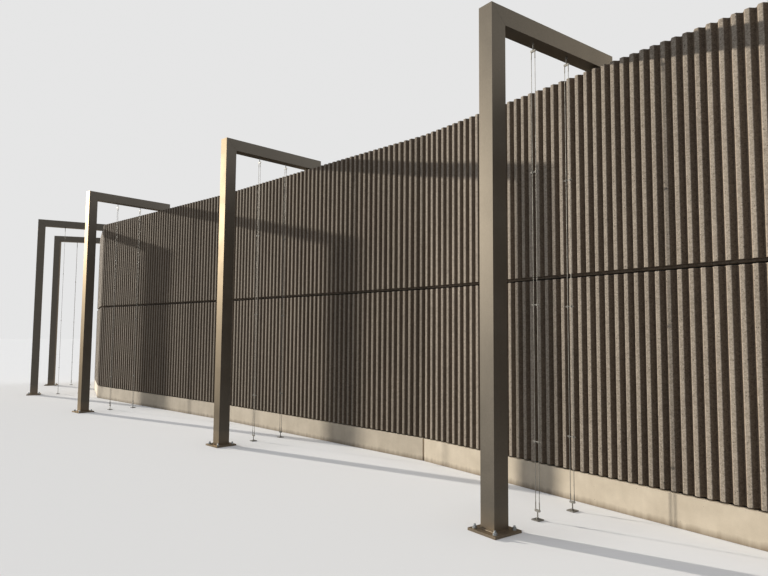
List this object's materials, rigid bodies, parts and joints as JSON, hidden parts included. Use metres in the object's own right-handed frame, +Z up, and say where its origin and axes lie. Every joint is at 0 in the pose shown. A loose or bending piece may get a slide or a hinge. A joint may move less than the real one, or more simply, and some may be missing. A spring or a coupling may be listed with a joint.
{
  "type": "noise barrier",
  "caption": "Noise barrier in bays that bend in plan: ribbed panels on a concrete plinth, with L-shaped steel frames and pairs of climbing ropes in front.",
  "frame": {"origin": "centre of the foot of column_4, at ground level", "axes": "+Z up; +X along bay 4, to the right as seen from the front; +Y through the wall to its back, so the ribs and frames look towards -Y"},
  "size_m": [19.808, 3.8497, 4.305],
  "materials": {
    "plinth_concrete": "smooth",
    "slab_concrete": "smooth",
    "ribbed_absorber": "porous",
    "coated_steel": "satin",
    "galvanised_steel": "dull",
    "stainless_rope": "satin"
  },
  "bodies": {
    "root": {"column_1": "galvanised_steel", "column_2": "galvanised_steel", "column_3": "galvanised_steel", "column_4": "galvanised_steel", "column_5": "galvanised_steel", "column_6": "galvanised_steel", "plinth_1": "plinth_concrete", "slab_lower_1": "slab_concrete", "slab_upper_1": "slab_concrete", "absorber_lower_1": "ribbed_absorber", "absorber_upper_1": "ribbed_absorber", "frame_post_1": "coated_steel", "frame_arm_1": "coated_steel", "climbing_ropes_1": "stainless_rope", "plinth_2": "plinth_concrete", "slab_lower_2": "slab_concrete", "slab_upper_2": "slab_concrete", "absorber_lower_2": "ribbed_absorber", "absorber_upper_2": "ribbed_absorber", "frame_post_2": "coated_steel", "frame_arm_2": "coated_steel", "climbing_ropes_2": "stainless_rope", "plinth_3": "plinth_concrete", "slab_lower_3": "slab_concrete", "slab_upper_3": "slab_concrete", "absorber_lower_3": "ribbed_absorber", "absorber_upper_3": "ribbed_absorber", "frame_post_3": "coated_steel", "frame_arm_3": "coated_steel", "climbing_ropes_3": "stainless_rope", "plinth_4": "plinth_concrete", "slab_lower_4": "slab_concrete", "slab_upper_4": "slab_concrete", "absorber_lower_4": "ribbed_absorber", "absorber_upper_4": "ribbed_absorber", "frame_post_4": "coated_steel", "frame_arm_4": "coated_steel", "climbing_ropes_4": "stainless_rope", "plinth_5": "plinth_concrete", "slab_lower_5": "slab_concrete", "slab_upper_5": "slab_concrete", "absorber_lower_5": "ribbed_absorber", "absorber_upper_5": "ribbed_absorber", "frame_post_5": "coated_steel", "frame_arm_5": "coated_steel", "climbing_ropes_5": "stainless_rope"}
  },
  "joints": []
}
